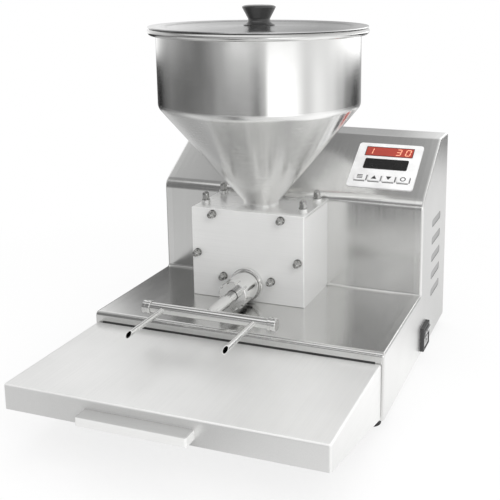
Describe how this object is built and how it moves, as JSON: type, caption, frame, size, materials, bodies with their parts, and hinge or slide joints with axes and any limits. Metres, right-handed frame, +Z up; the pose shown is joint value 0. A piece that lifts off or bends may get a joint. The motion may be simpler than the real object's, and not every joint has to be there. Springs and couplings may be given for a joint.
{
  "type": "pastry filling machine",
  "caption": "Table-top pastry filling machine: lidded cone hopper on a gear pump, cross tube with hollow needles over a pull-out shelf, folded steel housing with a sloping control panel.",
  "frame": {"origin": "under the middle of the whole machine, on the plane its feet stand on", "axes": "+Z up, +X to the right as seen by the user, front (shelf, needles) towards -Y"},
  "size_m": [0.3571, 0.5, 0.4413],
  "materials": {
    "housing_steel": "satin brushed sheet with rounded edges",
    "shelf_steel": "light satin sheet",
    "hopper_steel": "polished cylinder over a satin spun cone",
    "lid_steel": "polished",
    "pump_steel": "ground satin faces",
    "bright_steel": "polished fittings and dome nuts",
    "screw_steel": "zinc plated",
    "gear_steel": "machined",
    "bush_bronze": "sintered bronze",
    "seal_rubber": "pale food-grade rubber",
    "foot_rubber": "black rubber",
    "black_plastic": "black, slightly glossy",
    "panel_white": "white plate",
    "window_red": "dark red filter",
    "label_black": "bare black field",
    "key_grey": "moulded key caps",
    "board_green": "circuit board",
    "module_black": "display block",
    "gearbox_alloy": "cast alloy case",
    "motor_paint": "dark enamel",
    "supply_metal": "folded case"
  },
  "bodies": {
    "machine": {"bottom_plate": "housing_steel", "control_board": "board_green", "control_panel": "panel_white", "cover_seal": "seal_rubber", "deck_cover": "housing_steel", "display_module": "module_black", "display_window": "window_red", "dome_nuts": "bright_steel", "feet": "foot_rubber", "foot_screws": "screw_steel", "gearbox": "gearbox_alloy", "hopper_cone": "hopper_steel", "hopper_flange": "hopper_steel", "hopper_gasket": "seal_rubber", "hopper_wall": "hopper_steel", "housing_cover": "housing_steel", "key_switches": "module_black", "label_plate": "label_black", "manifold": "bright_steel", "motor": "motor_paint", "motor_bracket": "pump_steel", "needle_left": "bright_steel", "needle_right": "bright_steel", "outlet_spigot": "bright_steel", "power_inlet": "black_plastic", "power_supply": "supply_metal", "pump_body": "pump_steel", "pump_cover": "pump_steel", "pump_mount_plate": "pump_steel", "pump_mount_screws": "screw_steel", "rear_panel": "housing_steel", "rear_panel_screws": "screw_steel", "shaft_bushes": "bush_bronze", "shaft_seal": "seal_rubber", "side_panel_left": "housing_steel", "side_panel_right": "housing_steel", "studs": "screw_steel", "switch_bezel": "black_plastic", "tray_rails": "shelf_steel", "union_seal": "seal_rubber"},
    "pump_drive": {"drive_gear": "gear_steel", "drive_shaft": "gear_steel", "coupling_hubs": "gearbox_alloy", "coupling_spider": "foot_rubber", "gearbox_shaft": "gear_steel"},
    "pump_idler": {"idler_gear": "gear_steel", "idler_shaft": "gear_steel"},
    "lid": {"lid": "lid_steel", "lid_knob": "black_plastic", "lid_knob_screw": "screw_steel"},
    "shelf": {"drip_tray": "shelf_steel", "tray_handle": "shelf_steel"},
    "union_nut": {"union_nut": "bright_steel"},
    "end_cap_left": {"end_cap_left": "bright_steel"},
    "end_cap_right": {"end_cap_right": "bright_steel"},
    "key_1": {"key_1": "key_grey"},
    "key_2": {"key_2": "key_grey"},
    "key_3": {"key_3": "key_grey"},
    "key_4": {"key_4": "key_grey"},
    "switch_rocker": {"switch_rocker": "black_plastic"}
  },
  "joints": [
    {"name": "pump_drive_spin", "type": "hinge", "parent": "machine", "child": "pump_drive", "pos_m": [-0.0435, 0.06625, 0.154], "axis": [0, 1, 0], "continuous": true},
    {"name": "pump_idler_spin", "type": "hinge", "parent": "machine", "child": "pump_idler", "pos_m": [0.0045, 0.06625, 0.154], "axis": [0, 1, 0], "continuous": true},
    {"name": "lid_lift", "type": "slide", "parent": "machine", "child": "lid", "axis": [0, 0, 1], "range_m": [0, 0.12]},
    {"name": "shelf_slide", "type": "slide", "parent": "machine", "child": "shelf", "axis": [0, -1, 0], "range_m": [0, 0.1]},
    {"name": "union_nut_turn", "type": "hinge", "parent": "machine", "child": "union_nut", "pos_m": [-0.0195, -0.005, 0.112], "axis": [0, 1, 0], "continuous": true},
    {"name": "end_cap_left_turn", "type": "hinge", "parent": "machine", "child": "end_cap_left", "pos_m": [-0.0995, -0.083, 0.112], "axis": [-1, 0, 0], "continuous": true},
    {"name": "end_cap_right_turn", "type": "hinge", "parent": "machine", "child": "end_cap_right", "pos_m": [0.0605, -0.083, 0.112], "axis": [1, 0, 0], "continuous": true},
    {"name": "key_1_press", "type": "slide", "parent": "machine", "child": "key_1", "axis": [0, 0.5465, -0.8374], "range_m": [0, 0.0012], "stiffness_N_per_m": 800},
    {"name": "key_2_press", "type": "slide", "parent": "machine", "child": "key_2", "axis": [0, 0.5465, -0.8374], "range_m": [0, 0.0012], "stiffness_N_per_m": 800},
    {"name": "key_3_press", "type": "slide", "parent": "machine", "child": "key_3", "axis": [0, 0.5465, -0.8374], "range_m": [0, 0.0012], "stiffness_N_per_m": 800},
    {"name": "key_4_press", "type": "slide", "parent": "machine", "child": "key_4", "axis": [0, 0.5465, -0.8374], "range_m": [0, 0.0012], "stiffness_N_per_m": 800},
    {"name": "switch_rocker_tip", "type": "hinge", "parent": "machine", "child": "switch_rocker", "pos_m": [0.174, 0.1185, 0.033], "axis": [0, -1, 0], "range_deg": [0, 14]}
  ],
  "couplings": [
    {"joint": "pump_idler_spin", "follows": "pump_drive_spin", "ratio": -1}
  ]
}
